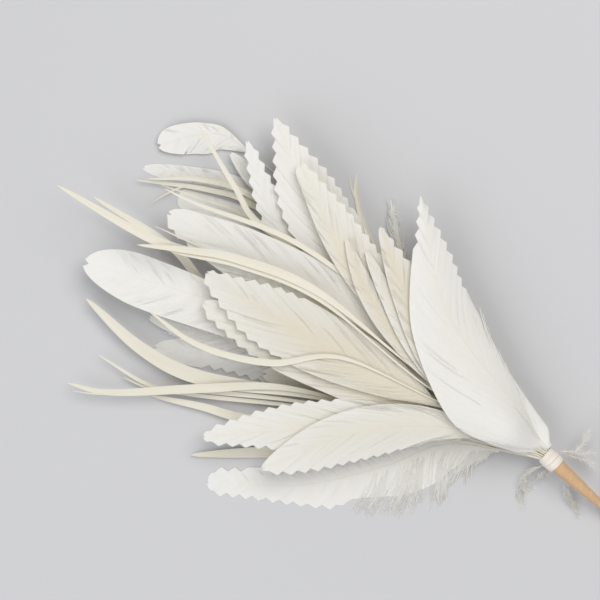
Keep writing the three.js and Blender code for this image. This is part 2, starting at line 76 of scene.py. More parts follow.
# From the top of the pile down. Level is the place in the pile near the neck and at the tip, path the way of
# the shaft out of the neck, start the share of it that is bare, and round the share of a vane that its tip
# takes. Base has the half widths of the two vanes where they start, left and right those at the quarters of
# their length, and fan is the distance from the neck at which the feather has come to its level. Roll slopes
# the vanes, cup hollows them and hem bends their edges down. Lean slants the barbs, and cream is the share of
# painted warm shade, in cream, that the feather takes towards the heart of the spray. Splits counts the slits
# of a vane, and strands and fuzz the locks of loose barbs on a millimetre of it, inside it and at its edge.
# Pinked has the stretches that are cut. Fringe has stretches with long loose barbs: where one starts and
# ends, how many locks it has, and the nearest and the farthest share of the vane's width at which they start
# and at which they end. Narrow is the share of the vane left under a fringe.
FEATHERS = [
    dict(name="front_petal", level=[24, 21], path=[[69.5, -27.5], [53, -7], [44, 12], [37.5, 47]],
         start=0.004, round=0.06, base=[8, 5], fan=16, left=[22, 17.5, 8.5, 1.6], right=[6, 10.5, 9, 1.6],
         roll=0, cup=-0.4, hem=[0.6, 1.2], splits=0, strands=0.02, fuzz=0.1,
         pinked=dict(left=[0.8, 1], right=[0.64, 1]),
         fringe=dict(right=[[0.05, 0.5, 3, 0.7, 0.9, 1.15, 1.35]])),
    dict(name="second_petal", level=[21.5, 18.5], path=[[64, -37.5], [44, -19.5], [31, 10.5], [22.5, 35]],
         start=0.3, round=0.06, left=[4, 5, 4, 1.6], right=[6, 9, 7.5, 1.6], roll=0, cup=-0.3, cream=1.0,
         strands=0.22, pinked=dict(right=[0.66, 1])),
    dict(name="slim_white_petal", level=[20.4, 17.2],
         path=[[58, -39.5], [37, -12], [24.5, 10.5], [17, 26]], start=0.3, round=0.1, left=[3, 4, 3, 1.4],
         right=[3, 4, 3, 1.4], roll=0.6, cup=-0.5, cream=0.6),
    dict(name="slim_inner_petal", level=[19.3, 16],
         path=[[53.5, -31.5], [30, -7.5], [17, 11], [9.5, 30.5]], start=0.3, round=0.12,
         left=[3, 4, 3.2, 1.4], right=[3, 4.5, 4, 1.4], roll=0.6, cup=-0.5, cream=1.0,
         fringe=dict(right=[[0.6, 0.97, 14, 0.4, 0.7, 0.95, 1.1]])),
    dict(name="upper_inner_petal", level=[17.6, 14], path=[[54.5, -28], [30, -4], [9.5, 22], [-7.5, 58.5]],
         start=0.3, round=0.04, left=[4, 4, 4.2, 3], right=[8, 13, 10.5, 3], roll=-1, cup=0, cream=1.0,
         strands=0.22, pinked=dict(right=[0.5, 1])),
    dict(name="lower_front_petal", level=[18.4, 13.6],
         path=[[64, -44], [37.5, -39.5], [9.5, -43.5], [-22, -56]], start=0.15, round=0.1,
         left=[5, 10.5, 10, 4.5], right=[6, 9, 8, 3], roll=-0.3, cup=-0.3, cream=0.6,
         pinked=dict(left=[0.42, 1])),
    dict(name="lower_petal", level=[17.3, 10.6],
         path=[[41, -40.5], [7.5, -40.5], [-20.5, -42], [-44, -44]], start=0.22, round=0.05,
         left=[6, 9, 7, 3.5], right=[7, 11, 9.2, 3.5], roll=0, cup=-0.4, cream=0.6,
         pinked=dict(left=[0.72, 1], right=[0.5, 1])),
    dict(name="cream_centre_petal", level=[16.2, 13], path=[[49, -34.5], [11, -15], [-19, 2], [-42.5, 18]],
         start=0.28, round=0.05, left=[7, 11.5, 12, 5], right=[9, 12, 11, 2.5], roll=0, cup=0.3, cream=1.0,
         strands=0.22, pinked=dict(left=[0.6, 1], right=[0.62, 1])),
    dict(name="lower_stepped_petal", level=[14.5, 11.2],
         path=[[47, -37], [9.5, -20.5], [-22, -5.5], [-44, 6.5]], start=0.28, round=0.05,
         left=[7.5, 9.5, 9, 4], right=[7, 9, 7, 3], roll=0, cup=0.3, cream=1.0,
         pinked=dict(left=[0.66, 1])),
    dict(name="wide_upper_feather", level=[13.9, 11.5], path=[[49, -30], [7.5, 2], [-26, 23], [-57, 40]],
         start=0.25, round=0.06, left=[8, 10, 10, 6], right=[9, 12.5, 10, 4], roll=0, cup=0.4, cream=0.6,
         pinked=dict(left=[0.86, 1])),
    dict(name="upper_petal", level=[12.2, 10.5], path=[[56, -29], [26, 0], [-1, 38], [-17, 76]],
         start=0.28, round=0.04, left=[6, 11, 11, 2.5], right=[7, 13, 12.5, 2.5], roll=-0.8, cup=0.3,
         cream=0.6, pinked=dict(left=[0.58, 1], right=[0.62, 1])),
    dict(name="upper_left_petal", level=[10.2, 8], path=[[52.5, -30], [11, 4], [-17, 38], [-27.5, 67.5]],
         start=0.3, round=0.05, left=[4, 5.5, 5, 2.4], right=[5, 8, 7.5, 2.4], roll=0, cup=0.3,
         pinked=dict(left=[0.7, 1], right=[0.8, 1])),
    dict(name="long_left_feather", level=[11.2, 7], path=[[45, -32], [0, -9.5], [-41, 7.5], [-89, 21.5]],
         start=0.3, round=0.18, left=[7, 11, 11.5, 8.5], right=[4, 4.5, 8, 10.5], roll=0, cup=0.3,
         lean=1.1, splits=3, strands=0.22),
    dict(name="inner_centre_petal", level=[6.6, 3], path=[[45, -35.5], [15, -27], [-4, -23], [-22, -20.5]],
         start=0.25, round=0.2, left=[6, 8, 7, 5], right=[6, 8, 7, 5], roll=0, cup=0.2, cream=1.0,
         strands=0.22),
    dict(name="fringed_back_petal", level=[5.5, 1.3],
         path=[[41, -34], [0, -19.5], [-37.5, -7.5], [-65, 1]], start=0.3, round=0.1, left=[5, 6, 5.5, 4],
         right=[4, 5, 4, 3], roll=0, cup=0, lean=1.4, cream=0.6, strands=0.22, narrow=0.7,
         fringe=dict(left=[[0.3, 0.97, 50, 0.1, 0.5, 0.9, 1.2]],
                     right=[[0.3, 0.97, 40, 0.1, 0.5, 0.9, 1.2]])),
    dict(name="back_petal", level=[4, 0], path=[[41, -35.5], [0, -23.5], [-34, -15], [-63, -10.5]],
         start=0.28, round=0.14, left=[6, 7, 5.5, 5], right=[5, 6, 4.5, 5], roll=0, cup=0, lean=1.4,
         pinked=dict(left=[0.6, 0.86])),
    dict(name="round_feather", level=[4.5, 0], path=[[45, -22], [7.5, 22], [-28, 49.5], [-67.5, 58]],
         start=0.6, round=0.14, left=[2.5, 3, 3, 2.6], right=[2.5, 3.5, 3.2, 2.6], roll=0, cup=0, lean=1.0,
         strands=0.22),
    dict(name="small_feather", level=[3.4, 2.6], path=[[45, -22], [11, 25], [-17, 47], [-34, 63.5]],
         start=0.7, round=0.3, left=[3, 4, 4, 3], right=[2, 3, 3, 2.4], roll=0, cup=0, lean=1.0),
    dict(name="curled_feather", level=[2.2, 1.2],
         path=[[47, -17], [2, 37], [-31, 67], [-45, 70.5], [-61.5, 66]], start=0.8, round=0.3,
         left=[4.5, 7.5, 6.5, 5], right=[1.5, 4, 5.5, 7.5], roll=-0.8, cup=0, lean=1.0, strands=0.22),
    dict(name="grey_back_feather", level=[1.2, 0], path=[[45, -19.5], [7.5, 18], [-26, 38], [-54, 47]],
         start=0.5, round=0.03, left=[3, 4, 4, 4], right=[3, 4, 3.5, 3.5], roll=0, cup=0, lean=1.2),
    dict(name="wispy_feather", level=[3, 0], path=[[67.5, -27], [45, 2], [32, 23], [27, 46]], start=0.55,
         round=0.1, left=[1.5, 2, 2.3, 1], right=[1.5, 2, 2.3, 1], roll=0, cup=0, lean=1.6, narrow=0.4,
         fringe=dict(left=[[0, 0.95, 45, 0, 0.2, 1, 1.5]], right=[[0, 0.95, 45, 0, 0.2, 1, 1.5]])),
    dict(name="bottom_petal", level=[0, 0], path=[[49, -47.5], [24.5, -56], [-7.5, -63], [-43, -62]],
         start=0.12, round=0.04, base=[3, 1], left=[20, 14, 7, 5], right=[4, 6, 7, 6], roll=0, cup=0,
         lean=0.75, pinked=dict(left=[0.56, 1], right=[0.86, 1]), narrow=0.66,
         fringe=dict(left=[[0.01, 0.52, 90, 0.1, 0.5, 0.92, 1.16]])),
]

# Biots, the stiff pointed barbs from the narrow side of a wing quill, listed in the same way. A split is a
# sliver that stands away from the blade: where it starts and ends along it, and how far to the left it goes.
BIOTS = [
    dict(name="straight_left_biot", level=[18, 14.8], half=1.7,
         path=[[41, -22.5], [0, 10], [-30, 22.5], [-49, 26], [-68, 28]]),
    dict(name="long_left_biot", level=[17.1, 13.9], half=1.9,
         path=[[41, -25.5], [0, 7.5], [-30, 21], [-60, 29], [-97.5, 50]]),
    dict(name="upper_edge_biot", level=[15.2, 12.5], half=1,
         path=[[45, -18], [19, 8.5], [-11, 30], [-45, 43], [-58, 49]]),
    dict(name="thin_left_biot", level=[14.8, 12.4], half=0.6,
         path=[[41, -21], [-7.5, 13], [-41, 26], [-61.5, 35]]),
    dict(name="band_biot", level=[16.6, 13.4], half=1.3,
         path=[[41, -29], [7.5, -14], [-19, -16], [-45, -9.5], [-64, 3.5]]),
    dict(name="crossing_biot", level=[11.1, 9], half=1.2,
         path=[[45, -16], [11, 15], [-22, 35.5], [-32, 50], [-45.5, 73]]),
    dict(name="left_biot", level=[9.2, 4.6], half=1.7,
         path=[[41, -28], [-7.5, -7.5], [-39.5, 9.5], [-56, 27.5], [-85.5, 46.5]]),
    dict(name="long_lower_biot", split=[0.88, 0.985, 2.4], level=[9.6, 4], half=1.7,
         path=[[41, -39.5], [-11, -26], [-45, -26], [-79, -27.5], [-95.5, -24]]),
    dict(name="wide_lower_biot", level=[8.4, 3], half=2.8,
         path=[[37.5, -37.5], [-7.5, -28], [-45, -22], [-67.5, -11], [-88.5, 8]]),
    dict(name="thin_lower_biot", level=[7.5, 2], half=0.9,
         path=[[37.5, -39.5], [-7.5, -31], [-45, -27], [-64, -25], [-84, -13.5]]),
    dict(name="short_lower_biot", level=[6, 1.6], half=0.8,
         path=[[37.5, -40.5], [-7.5, -33], [-45, -29], [-64.5, -26], [-74.5, -22]]),
    dict(name="low_biot", level=[4.5, 1.5], half=1.8,
         path=[[41, -42], [0, -39.5], [-28, -37.5], [-45, -33], [-64, -29]]),
    dict(name="bottom_biot", level=[3, 1.2], half=2.2,
         path=[[41, -45], [4, -49.5], [-26, -50.5], [-49, -51.5]]),
    dict(name="upper_fine_biot", level=[8, 4], half=0.6,
         path=[[45, -22.5], [7.5, 15], [-26, 38.5], [-45, 46], [-60, 51]]),
    dict(name="upper_biot", level=[6.8, 2.6], half=1.2,
         path=[[45, -20], [4, 24.5], [-26, 47], [-45, 53], [-65.5, 53.5]]),
    dict(name="upper_low_biot", split=[0.9, 0.97, 8.5], level=[5.7, 1.3], half=1.2,
         path=[[45, -22], [4, 19.5], [-24.5, 43], [-43, 49.5], [-69.5, 53]]),
    dict(name="top_biot", split=[0.9, 0.99, 2.6], level=[4.2, 0], half=1.4,
         path=[[60, -24.5], [37.5, 4], [19.5, 30], [14, 47], [14, 55.5]]),
]

collar_low, collar_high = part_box("thread_collar")
collar_spot = np.array((collar_low + collar_high)[:2]) / 2 / MM
SHIFT = collar_spot - (NECK - FLOWER_WAY * COLLAR_LENGTH / 2)


def smooth(t):
    t = np.clip(t, 0, 1)
    return t * t * (3 - 2 * t)


def glide(a, b, c, d, t):
    """A smooth curve from b to c, with a before them and d after them."""
    return b + 0.5 * t * (c - a + t * (2 * a - 5 * b + 4 * c - d + t * (3 * (b - c) + d - a)))


def pack_shafts(pieces):
    """Gives each shaft its place in the collar: a column by its side of the fan, a row by its level."""
    across = sorted(pieces, key=lambda p: math.atan2(p["path"][0][1] - NECK[1], p["path"][0][0] - NECK[0]))
    for column, size in enumerate(COLUMN_SIZES):
        stack, across = sorted(across[:size], key=lambda p: p["level"][0]), across[size:]
        for row, piece in enumerate(stack):
            piece["side"] = (column - (len(COLUMN_SIZES) - 1) / 2) * SHAFT_PITCH
            piece["rise"] = (row - (size - 1) / 2) * SHAFT_PITCH


class Shaft:
    """The line that a feather or a biot follows from the neck to its tip, seen from above."""

    def __init__(self, piece):
        self.piece = piece
        spots = np.vstack([NECK + FAN_LEFT * piece["side"], piece["path"]])
        ends = np.vstack([2 * spots[0] - spots[1], spots, 2 * spots[-1] - spots[-2]])
        steps = np.linspace(0, len(spots) - 1, SHAFT_STEPS)
        first = np.minimum(steps.astype(int), len(spots) - 2)
        self.spots = glide(*(ends[first + i] for i in range(4)), (steps - first)[:, None])
        run = np.append(0, np.cumsum(np.linalg.norm(np.diff(self.spots, axis=0), axis=1)))
        self.length, self.shares = run[-1], run / run[-1]
        self.ways = np.gradient(self.spots, self.shares, axis=0)

    def along(self, rows, share):
        return np.stack([np.interp(share, self.shares, rows[:, i]) for i in (0, 1)], axis=-1)

    def place(self, share, side, lift=0.0):
        """Points at a share of the shaft and a distance to its left, on the piece's level of the pile."""
        piece = self.piece
        way = self.along(self.ways, share)
        way /= np.linalg.norm(way, axis=-1, keepdims=True)
        spot = self.along(self.spots, share) + np.stack([-way[..., 1], way[..., 0]], -1) * side[..., None]
        out = spot - NECK
        reach = np.hypot(out[..., 0], out[..., 1])
        aside = (np.arctan2(-out[..., 1], -out[..., 0]) + math.pi - FAN_MIDDLE) / FAN_HALF
        mound = 1 - SIDE_FALL * np.minimum(1, aside ** 2)
        level = piece["level"][0] + (piece["level"][1] - piece["level"][0]) * smooth(share)
        piled = LYING + level * (LEVEL_AT_NECK + LEVEL_SPREAD * reach) * mound
        fan = smooth(reach / piece.get("fan", FAN_OUT))
        height = (NECK_HEIGHT + piece["rise"]) * (1 - fan) + piled * fan
        bend = side / CAMBER_WIDTH
        height = height + piece.get("roll", 0) * bend + piece.get("cup", 0) * bend ** 2 + lift
        return np.concatenate([(spot + SHIFT) * MM, np.maximum(height, LYING)[..., None] * MM], axis=-1)

    def root(self, count):
        """Points of the shaft's straight run through the collar."""
        ends = np.linspace(SHAFT_END - COLLAR_LENGTH, 0, count, endpoint=False)[:, None]
        spot = NECK + FAN_LEFT * self.piece["side"] + FLOWER_WAY * ends + SHIFT
        return np.column_stack([spot, np.full(count, NECK_HEIGHT + self.piece["rise"])]) * MM


def add_part(bm, part):
    """Adds a mesh that was made on its own to a piece."""
    mesh = bpy.data.meshes.new("part")
    part.to_mesh(mesh)
    part.free()
    bm.from_mesh(mesh)
    bpy.data.meshes.remove(mesh)


def start_mesh():
    """An empty mesh that keeps, for each point, where it lies along and across its piece."""
    bm = bmesh.new()
    bm.verts.layers.float.new("along")
    bm.verts.layers.float.new("across")
    return bm


TAPE_LAP = 0.08


def add_rod(bm, points, radii, sides, flat=1.0, across=None, tape=None):
    """A closed round rod along a row of points. Flat presses it, and tape gives the pitch and the step of a
    strip that is wound around it."""
    part = start_mesh()
    bmesh.ops.create_cone(part, cap_ends=True, segments=sides, radius1=1, radius2=1, depth=1)
    long_edges = [e for e in part.edges if abs(e.verts[0].co.z - e.verts[1].co.z) > 0.5]
    bmesh.ops.subdivide_edges(part, edges=long_edges, cuts=len(points) - 2)
    ways = np.gradient(points, axis=0)
    ways /= np.linalg.norm(ways, axis=1, keepdims=True)
    left = np.cross([0, 0, 1], ways)
    left /= np.maximum(np.linalg.norm(left, axis=1, keepdims=True), 1e-9)
    over = np.cross(ways, left)
    run = np.append(0, np.cumsum(np.linalg.norm(np.diff(points, axis=0), axis=1))) / MM
    along_layer, across_layer = part.verts.layers.float["along"], part.verts.layers.float["across"]
    for vert in part.verts:
        row = round((vert.co.z + 0.5) * (len(points) - 1))
        turn = math.atan2(vert.co.y, vert.co.x) / (2 * math.pi)
        radius = radii[row]
        if tape:
            wound = (run[row] / tape[0] - turn) % 1
            radius -= tape[1] * MM * (wound if wound > TAPE_LAP else 1 - wound / TAPE_LAP)
        vert[along_layer] = run[row]
        vert[across_layer] = turn if across is None else across
        vert.co = points[row] + radius * (vert.co.x * left[row] + vert.co.y * over[row] * flat)
    add_part(bm, part)


def thicken(bm, thickness):
    """Makes a closed body of a sheet, with the sheet in its middle."""
    bm.normal_update()
    if sum(f.normal.z * f.calc_area() for f in bm.faces) < 0:
        bmesh.ops.reverse_faces(bm, faces=bm.faces[:])
    bmesh.ops.translate(bm, verts=bm.verts[:], vec=(0, 0, -thickness / 2 * MM))
    top = bmesh.ops.extrude_face_region(bm, geom=bm.faces[:])["geom"]
    bmesh.ops.translate(bm, verts=[g for g in top if isinstance(g, bmesh.types.BMVert)],
                        vec=(0, 0, thickness * MM))


def vane_width(base, quarters, v, tip_round):
    """Half width of a vane at shares of its length, from the half widths at its quarters."""
    widths = np.array([base, base, *quarters, quarters[-1]])
    first = np.minimum((v * 4).astype(int), 3)
    width = glide(*(widths[first + i] for i in range(4)), v * 4 - first)
    past = np.maximum(0, (v - 1 + tip_round) / tip_round)
    return width * np.sqrt(np.maximum(BLUNT_TIP, 1 - past ** 2))


HAIR_STEPS = 7
HAIR_ACROSS = 0.8


def add_hairs(bm, lines, radii):
    """Many fine three-sided hairs at once: lines has a row of points for each hair."""
    lines = np.asarray(lines)
    count, steps = lines.shape[:2]
    ways = np.gradient(lines, axis=1)
    ways /= np.maximum(np.linalg.norm(ways, axis=2, keepdims=True), 1e-12)
    left = np.cross([0, 0, 1], ways)
    left /= np.maximum(np.linalg.norm(left, axis=2, keepdims=True), 1e-9)
    over = np.cross(ways, left)
    turns = np.arange(3) * 2 * math.pi / 3
    ring = left[:, :, None] * np.cos(turns)[:, None] + over[:, :, None] * np.sin(turns)[:, None]
    spots = lines[:, :, None] + ring * np.asarray(radii)[..., None, None]
    index = np.arange(count * steps * 3).reshape(count, steps, 3)
    a, b = index[:, :-1], index[:, 1:]
    nearer, farther = np.roll(a, -1, axis=2), np.roll(b, -1, axis=2)
    quads = np.stack([a, nearer, farther, b], axis=-1).reshape(-1, 4)
    ends = np.concatenate([index[:, 0, ::-1], index[:, -1]])
    mesh = bpy.data.meshes.new("hairs")
    mesh.from_pydata(spots.reshape(-1, 3).tolist(), [], quads.tolist() + ends.tolist())
    along = mesh.attributes.new("along", "FLOAT", "POINT").data
    along.foreach_set("value", np.repeat(lines[:, 0, 0] / MM, steps * 3))
    across = mesh.attributes.new("across", "FLOAT", "POINT").data
    across.foreach_set("value", np.full(count * steps * 3, HAIR_ACROSS))
    bm.from_mesh(mesh)
    bpy.data.meshes.remove(mesh)


LOCK_SIZE = 3
LOCK_SPREAD = 0.006
SHORTEST_BARB = 0.92
LOOSE_RISE = 0.2
LOOSE_LIFT = 0.1


def add_loose_barbs(whole, shaft, hand, barbs, where, reach, radii, wander, rng):
    """Loose barbs over a vane, a few to a lock. Barbs has the roots, the ends and the widths of the vane's
    barbs, where the shares of the vane at which the locks grow, and reach the nearest and the farthest share
    of a barb's width at which the loose barbs start and end."""
    spot = np.repeat(where, LOCK_SIZE) + rng.normal(0, LOCK_SPREAD, len(where) * LOCK_SIZE)
    root, end, width = (np.interp(spot, np.linspace(0, 1, len(row)), row)[:, None] for row in barbs)
    first = rng.uniform(reach[0], reach[1], (len(spot), 1))
    last = np.repeat(rng.uniform(reach[2], reach[3], len(where)), LOCK_SIZE)[:, None]
    last = last * rng.uniform(SHORTEST_BARB, 1, last.shape)
    t = first + (last - first) * np.linspace(0, 1, HAIR_STEPS)
    drift = np.repeat(rng.normal(0, wander, len(where)), LOCK_SIZE)[:, None]
    drift = drift + rng.normal(0, wander / 3, first.shape)
    rise = np.repeat(np.abs(rng.normal(0, LOOSE_RISE, len(where))), LOCK_SIZE)[:, None]
    share = root + (end - root) * t ** BARB_CURVE + drift * t ** 2 / shaft.length
    points = shaft.place(np.clip(share, 0, 1), width * t * hand, LOOSE_LIFT + rise * t ** 2)
    add_hairs(whole, points, np.tile(np.linspace(*radii, HAIR_STEPS) * MM, (len(spot), 1)))


BASE_SHARE = 0.45
LEAN = 2.6
LEAN_AT_START = 0.75
LEAN_GROWTH = 0.5
NEAREST_ROOT = 0.96
FARTHEST_ROOT = 0.995
FRINGE_RADII = [0.2, 0.08]
FRINGE_WANDER = 2.2
FRINGE_FADE = 0.08
LOOSE_RADII = [0.06, 0.025]
LOOSE_WANDER = 1.2
FUZZ = 0.25
FUZZ_STRETCH = [0.03, 0.93]
FUZZ_REACH = [0.5, 0.8, 0.97, 1.05]
STRANDS = 0.1
STRAND_STRETCH = [0.03, 0.95]
STRAND_REACH = [0, 0.4, 0.5, 0.97]
ROW_WIDTH = 1.5
EXTRA_ROWS = 3
FEWEST_ROWS = 5
MOST_ROWS = 12
PART_LOCK = 0.6
LOCK_SIZES = [0.6, 1.5]
SMALLEST_LOCK = 3
SLIT_STARTS = [0.8, 0.97]
LAST_SLIT = 0.85
LOCK_DRAW = [0.1, 0.5]
LOCK_LIFT = 0.14
PLEAT = 0.03
PLEAT_WAVE = 0.75
RIPPLE = 0.06
RIPPLE_BLEND = [0.1, 0.25, 0.3, 0.25, 0.1]


def cut_notches(shaft, name, v):
    """Depth of the pinked notches along one vane. The teeth of both vanes are in step."""
    piece = shaft.piece
    cuts = piece["pinked"]
    first_cut = min(c[0] for c in cuts.values())
    path_length = np.linalg.norm(np.diff(np.vstack([NECK, piece["path"]]), axis=0), axis=1).sum()
    pitch = TOOTH_PITCH / path_length / (1 - piece["start"])
    tooth = (v - first_cut) / pitch
    notch = TOOTH_DEPTH * (1 - np.abs(2 * (tooth % 1) - 1))
    cut_from, cut_to = ((c - first_cut) / pitch for c in cuts[name])
    last_tooth = math.floor(cut_to) if cuts[name][1] < 1 else math.inf
    notch[(tooth < math.ceil(cut_from)) | (tooth > last_tooth)] = 0
    return notch


def part_locks(count, splits, rng):
    """Parts a vane of so many barbs into locks. Gives the first barb of each lock and the first one after
    it, and for each slit the barb before it and the share of the width at which it opens."""
    locks, slits = [], {}
    here = 0
    while here < count:
        size = int(count / (splits + PART_LOCK) * rng.uniform(*LOCK_SIZES)) + SMALLEST_LOCK
        opens = rng.uniform(*SLIT_STARTS)
        after = here + size if here + size < count * LAST_SLIT else count
        locks.append((here, after))
        if after < count:
            slits[after - 1] = opens
        here = after
    return locks, slits


def add_vane(whole, shaft, hand, rng):
    """One vane: a sheet of barbs from the shaft to the edge, parted into locks, with loose barbs over it."""
    piece = shaft.piece
    name = ("left", "right")[hand < 0]
    start = piece["start"]
    length = shaft.length * (1 - start)
    count = int(length / BARB_PITCH)
    v = np.linspace(0, 1, count)
    width = vane_width(piece.get("base", [0, 0])[hand < 0], piece[name], v, piece["round"])
    cut = piece.get("pinked", {}).get(name)
    if cut:
        width = width - np.minimum(cut_notches(shaft, name, v), width * DEEPEST_CUT)
    if "base" in piece:
        width = width * (BASE_SHARE + (1 - BASE_SHARE) * smooth(v / SHOULDER))
    end = start + v * (1 - start)
    lean = piece.get("lean", LEAN) * (LEAN_AT_START + LEAN_GROWTH * v)
    root = np.clip(end - lean * width / shaft.length, start * NEAREST_ROOT, FARTHEST_ROOT)
    root = np.maximum.accumulate(root)
    barbs = (root, end, width)
    for first, last, lock_count, *reach in piece.get("fringe", {}).get(name, []):
        fringe = rng.uniform(first, last, lock_count)
        add_loose_barbs(whole, shaft, hand, barbs, fringe, reach, FRINGE_RADII, FRINGE_WANDER, rng)
        width = width * (1 - (1 - piece.get("narrow", 1)) * (1 - smooth((v - last) / FRINGE_FADE)))
    fuzz = rng.uniform(*FUZZ_STRETCH, int(length * piece.get("fuzz", FUZZ)))
    if cut:
        fuzz = fuzz[(fuzz < cut[0]) | (fuzz > cut[1])]
    add_loose_barbs(whole, shaft, hand, barbs, fuzz, FUZZ_REACH, LOOSE_RADII, LOOSE_WANDER, rng)
    strands = rng.uniform(*STRAND_STRETCH, int(length * piece.get("strands", STRANDS)))
    add_loose_barbs(whole, shaft, hand, barbs, strands, STRAND_REACH, LOOSE_RADII, LOOSE_WANDER, rng)
    rows = int(np.clip(width.max() / ROW_WIDTH + EXTRA_ROWS, FEWEST_ROWS, MOST_ROWS))
    t = np.linspace(0, 1, rows + 1)
    locks, slits = part_locks(count, piece.get("splits", 1), rng)
    share = root[:, None] + (end - root)[:, None] * t ** BARB_CURVE
    side = width[:, None] * t
    noise = rng.normal(0, 1, count + len(RIPPLE_BLEND) - 1)
    ripple = np.convolve(noise, RIPPLE_BLEND, "valid")[:, None]
    pleat = (-1.0) ** np.arange(count)[:, None]
    lift = (PLEAT * pleat + RIPPLE * ripple) * np.sin(math.pi * t * PLEAT_WAVE)
    for first, after in locks:
        middle = end[first:after].mean()
        spread = rng.uniform(*LOCK_DRAW) * 2 / (after - first)
        share[first:after] -= (end[first:after, None] - middle) * spread * t ** 2
        lift[first:after] += rng.normal(0, LOCK_LIFT) * t ** 2
    hem = piece.get("hem", [0, 0])[hand < 0]
    points = shaft.place(share, side * hand, lift - hem * t ** 4)
    bm = start_mesh()
    bmesh.ops.create_grid(bm, x_segments=count - 1, y_segments=rows, size=0.5)
    gaps = []
    for face in bm.faces:
        middle = face.calc_center_median()
        column, row = int((middle.x + 0.5) * (count - 1)), int((middle.y + 0.5) * rows)
        if column in slits and t[row] >= slits[column]:
            gaps.append(face)
    along, across = bm.verts.layers.float["along"], bm.verts.layers.float["across"]
    for vert in bm.verts:
        i, j = round((vert.co.x + 0.5) * (count - 1)), round((vert.co.y + 0.5) * rows)
        vert.co = points[i, j]
        vert[along] = root[i] * shaft.length
        vert[across] = t[j]
    bmesh.ops.delete(bm, geom=gaps, context="FACES")
    thicken(bm, VANE_THICKNESS)
    add_part(whole, bm)


# The middle of the painted warm shade in the heart of the spray, where the layers of feathers shade each
# other.
SHADED_HEART = (0.008, -0.004, 0.012)
VANE_WHITE = (0.9, 0.91, 0.92, 1)
# Cream for random patches on the vanes, and for the painted warm shade towards the heart of the spray.
VANE_SHADE_AND_CREAM = (0.85, 0.8, 0.67, 1)
VANE_LINE = (0.74, 0.71, 0.62, 1)
QUILL_HORN = (0.8, 0.74, 0.58, 1)
VANE_GLOW = (0.93, 0.86, 0.68, 1)
BARB_GRAIN = (1.7, 0.8)
LOCK_GRAIN = (0.42, 0.9, 4.0)
PATCHES = 60.0
PATCH_SHARE = 0.35
FINE_SHARE = 0.18
BROAD_SHARE = 0.24
QUILL_SHARE = 0.6
QUILL_FROM = 1.5
WHITE_GLOW = 0.18
CREAM_GLOW = 0.14


class Tone:
    """A value in a material. Operators on it, and its node method, add the nodes that work it out."""

    def __init__(self, tree, socket=None):
        self.tree, self.socket = tree, socket

    def node(self, kind, settings={}, values={}, output=0):
        made = self.tree.nodes.new(kind)
        for name, value in settings.items():
            setattr(made, name, value)
        for key, value in values.items():
            if isinstance(value, Tone):
                self.tree.links.new(value.socket, made.inputs[key])
            else:
                made.inputs[key].default_value = value
        return Tone(self.tree, made.outputs[output] if made.outputs else None)

    def math(self, operation, *values):
        return self.node("ShaderNodeMath", {"operation": operation}, dict(enumerate(values)))

    def __add__(self, other):
        return self.math("ADD", self, other)

    def __sub__(self, other):
        return self.math("SUBTRACT", self, other)

    def __mul__(self, other):
        return self.math("MULTIPLY", self, other)


def new_material(name):
    material = bpy.data.materials.new(name)
    material.use_nodes = True
    material.node_tree.nodes.clear()
    return material, Tone(material.node_tree)


def blend_colours(tone, factor, first, second):
    return tone.node("ShaderNodeMix", {"data_type": "RGBA"}, {0: factor, 6: first, 7: second}, output=2)


